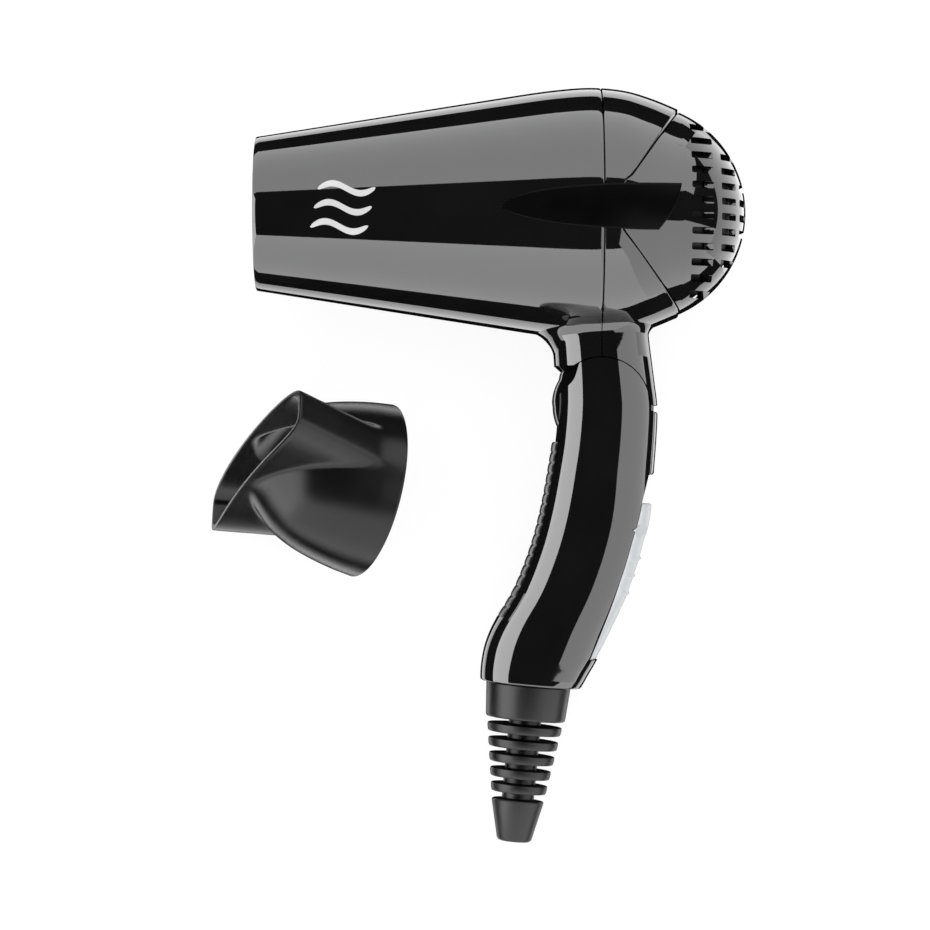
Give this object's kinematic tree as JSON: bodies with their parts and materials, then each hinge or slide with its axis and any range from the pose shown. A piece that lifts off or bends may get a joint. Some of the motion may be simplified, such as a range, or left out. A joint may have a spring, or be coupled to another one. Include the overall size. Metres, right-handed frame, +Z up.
{
  "type": "travel hair dryer",
  "caption": "Folding travel hair dryer: tapered barrel with slotted domed intake, curved folding handle with slide switch and cord strain relief, and a loose concentrator nozzle.",
  "frame": {"origin": "on the surface that the object lies on, under the middle of its outline seen from above", "axes": "+Z up from the surface, -X the way the air blows out of the barrel, -Y from the barrel towards the end of the handle"},
  "size_m": [0.1784, 0.249, 0.0833],
  "materials": {
    "gloss_black": "glossy moulded black",
    "satin_black": "satin moulded black",
    "boot_rubber": "matt soft plastic",
    "cool_grey": "satin light cool grey",
    "mica": "pressed mica sheet",
    "resistance_wire": "oxidised resistance wire",
    "steel": "plated steel",
    "ceramic": "sintered ferrite",
    "cream_plastic": "moulded cream plastic",
    "copper": "wound copper",
    "board_green": "circuit board",
    "red_wire": "insulated wire",
    "blue_wire": "insulated wire"
  },
  "bodies": {
    "head": {"front_housing": "gloss_black", "rear_housing": "gloss_black", "intake_grille": "gloss_black", "lint_filter": "satin_black", "side_trim_left": "gloss_black", "side_trim_right": "gloss_black", "fan_duct": "satin_black", "motor_can": "steel", "motor_end_cap": "cream_plastic", "magnet_upper": "ceramic", "magnet_lower": "ceramic", "rectifier_board": "board_green", "heat_shield_sleeve": "mica", "mica_board_main": "mica", "mica_board_left": "mica", "mica_board_right": "mica", "heating_coil_front": "resistance_wire", "heating_coil_rear": "resistance_wire", "thermostat": "cream_plastic", "thermal_fuse": "steel", "outlet_guard": "satin_black", "head_lead_live": "red_wire", "head_lead_neutral": "blue_wire", "hinge_bush": "steel", "detent_washer_left": "steel", "detent_washer_right": "steel"},
    "fan": {"motor_shaft": "steel", "motor_armature": "copper", "fan_impeller": "satin_black"},
    "handle": {"handle_shell_left": "gloss_black", "handle_shell_right": "gloss_black", "front_grip_strip": "satin_black", "handle_screw_1": "steel", "handle_screw_2": "steel", "handle_screw_3": "steel", "hinge_pin": "steel", "switch_module": "cream_plastic", "terminal_block": "cream_plastic", "cord_clamp": "cream_plastic", "clamp_screw_1": "steel", "clamp_screw_2": "steel", "lead_wire_live": "red_wire", "lead_wire_neutral": "blue_wire", "fold_lead_live": "red_wire", "fold_lead_neutral": "blue_wire", "strain_relief_boot": "boot_rubber"},
    "switch": {"switch_slider": "cool_grey", "switch_toggle": "cream_plastic"},
    "nozzle": {"concentrator_nozzle": "satin_black"}
  },
  "joints": [
    {"name": "handle_fold", "type": "hinge", "parent": "head", "child": "handle", "pos_m": [0.04077, 0.01933, 0.03141], "axis": [0, 0.1596, -0.9872], "range_deg": [0, 78]},
    {"name": "switch_slide", "type": "slide", "parent": "handle", "child": "switch", "axis": [0.3206, 0.9351, 0.1512], "range_m": [0, 0.008]},
    {"name": "fan_spin", "type": "hinge", "parent": "head", "child": "fan", "pos_m": [0.04077, 0.08281, 0.04168], "axis": [1, 0, 0], "continuous": true},
    {"name": "nozzle_lift", "type": "slide", "parent": "head", "child": "nozzle", "axis": [0, 0, 1], "range_m": [0, 0.11]}
  ],
  "couplings": [
    {"joint": "nozzle_lift", "follows": "handle_fold", "m_per_rad": 0.08}
  ]
}
